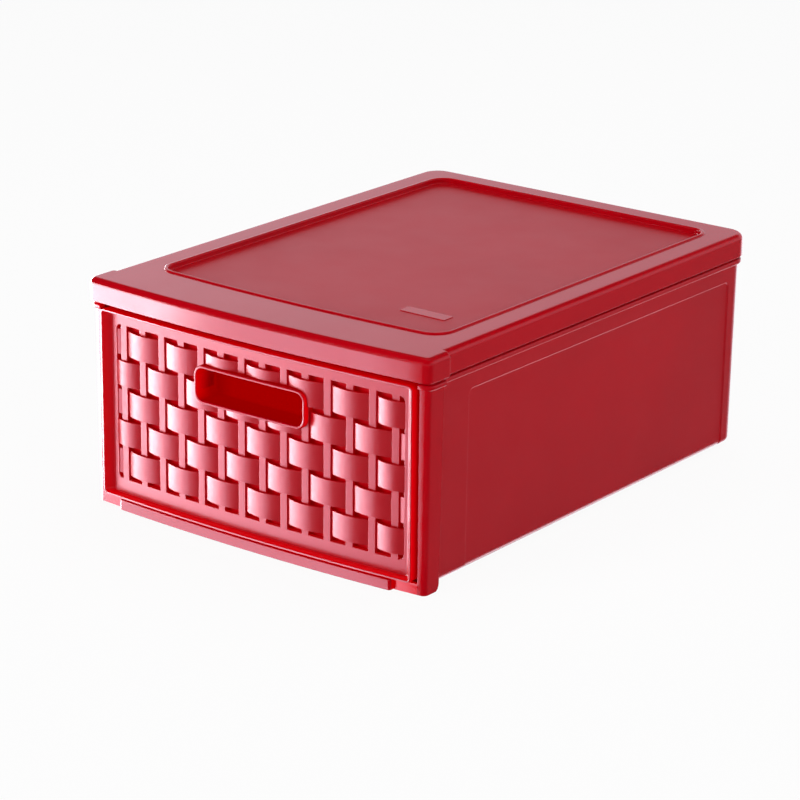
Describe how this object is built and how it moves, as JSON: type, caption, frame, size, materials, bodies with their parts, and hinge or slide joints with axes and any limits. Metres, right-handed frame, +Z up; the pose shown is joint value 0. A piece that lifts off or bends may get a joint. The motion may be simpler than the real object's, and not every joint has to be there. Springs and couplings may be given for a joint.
{
  "type": "drawer box",
  "caption": "Stackable plastic drawer box: a low case with a lift-off cover and one full-width drawer with a basket-weave front and a sunk finger grip.",
  "frame": {"origin": "bottom centre of the whole box, on the surface it stands on", "axes": "+X to the right across the front, +Y from the front to the rear, so the drawer opens along -Y, +Z up"},
  "size_m": [0.26, 0.35, 0.145],
  "materials": {
    "cover_plastic": "fine satin gloss, red",
    "case_plastic": "satin gloss, red",
    "frame_plastic": "glossy, red",
    "tub_plastic": "glossy, red",
    "front_plastic": "glossy rim, fine-grained satin weave, red",
    "grip_plastic": "glossy, red"
  },
  "bodies": {
    "case": {"housing": "case_plastic", "front_frame": "frame_plastic"},
    "cover": {"top_cover": "cover_plastic"},
    "drawer": {"drawer_tub": "tub_plastic", "drawer_front": "front_plastic", "grip_cup": "grip_plastic"}
  },
  "joints": [
    {"name": "drawer_slide", "type": "slide", "parent": "case", "child": "drawer", "axis": [0, -1, 0], "range_m": [0, 0.276]},
    {"name": "cover_lift", "type": "slide", "parent": "case", "child": "cover", "axis": [0, 0, 1], "range_m": [0, 0.06]}
  ]
}
